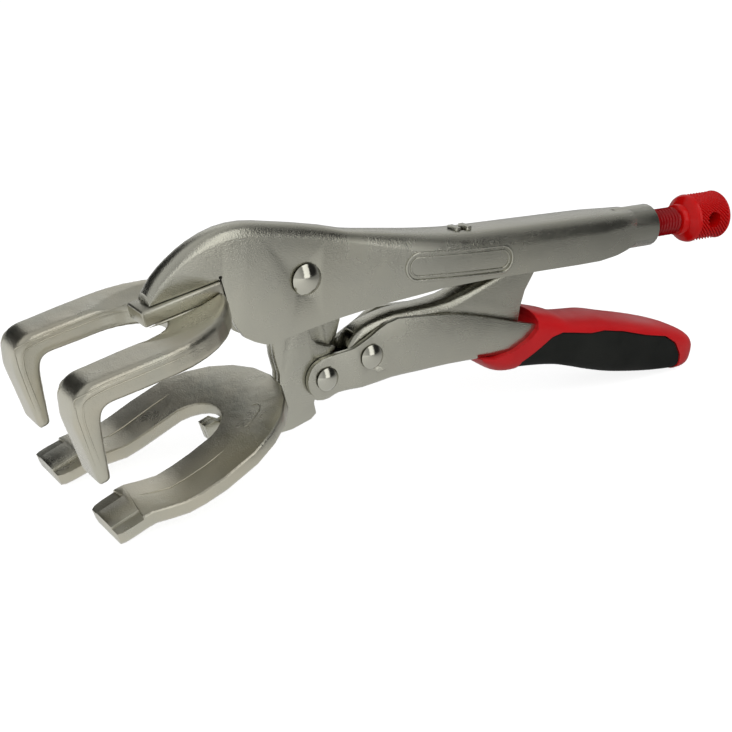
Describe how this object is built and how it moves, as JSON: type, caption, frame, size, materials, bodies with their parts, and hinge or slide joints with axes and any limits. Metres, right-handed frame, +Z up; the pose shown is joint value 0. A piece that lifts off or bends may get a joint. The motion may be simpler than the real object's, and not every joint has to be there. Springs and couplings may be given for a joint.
{
  "type": "welding locking pliers",
  "caption": "Locking welding pliers with two U-shaped fork jaws, toggle linkage, adjusting screw with knurled knob and a two-tone handle grip.",
  "frame": {"origin": "centre of the bounding box's base, on the surface that the locked tool stands on", "axes": "+X back from the jaws to the adjusting screw, +Y across the tool to its right side, +Z up"},
  "size_m": [0.276, 0.0688, 0.0821],
  "materials": {
    "nickel": "satin nickel plate on pressed steel",
    "forged": "nickel plate on forged steel",
    "rivet": "bright nickel plate",
    "spring": "bright spring wire",
    "red_paint": "satin red paint on steel",
    "red_grip": "semi-matte moulded grip",
    "black_grip": "matte soft grip"
  },
  "bodies": {
    "upper_body": {"upper_channel": "nickel", "tang_bar": "nickel", "upper_fork": "forged", "main_rivet": "rivet", "extension_spring": "spring"},
    "jaw_lever": {"lever_plate_left": "nickel", "lever_plate_right": "nickel", "lower_fork": "forged", "weld_bead_left": "forged", "weld_bead_right": "forged", "handle_rivet": "rivet"},
    "handle": {"lower_handle": "nickel", "grip_sleeve": "red_grip", "grip_inlay": "black_grip", "link_rivet": "rivet"},
    "link": {"toggle_link": "nickel"},
    "screw_tip": {"screw_point": "red_paint"},
    "screw": {"screw_shank": "red_paint", "screw_knob": "red_paint"}
  },
  "joints": [
    {"name": "jaw_swing", "type": "hinge", "parent": "upper_body", "child": "jaw_lever", "pos_m": [-0.04839, 0, 0.06172], "axis": [0, -1, 0], "range_deg": [0, 12.1], "deforming": ["extension_spring"]},
    {"name": "handle_swing", "type": "hinge", "parent": "jaw_lever", "child": "handle", "pos_m": [-0.03989, 0, 0.02582], "axis": [0, 1, 0], "range_deg": [0, 65.9]},
    {"name": "link_swing", "type": "hinge", "parent": "handle", "child": "link", "pos_m": [-0.02414, 0, 0.03168], "axis": [0, -1, 0], "range_deg": [0, 63.5]},
    {"name": "screw_travel", "type": "slide", "parent": "upper_body", "child": "screw_tip", "axis": [0.9999, 0, -0.0105], "range_m": [0, 0.012]},
    {"name": "screw_turn", "type": "hinge", "parent": "screw_tip", "child": "screw", "pos_m": [0.09057, 0, 0.05877], "axis": [0.9999, 0, -0.0105], "range_deg": [0, 2900]}
  ],
  "couplings": [
    {"joint": "jaw_swing", "follows": "handle_swing", "ratio": 0.182},
    {"joint": "link_swing", "follows": "handle_swing", "ratio": 0.9601},
    {"joint": "screw_turn", "follows": "screw_travel", "rad_per_m": 4188.8}
  ]
}
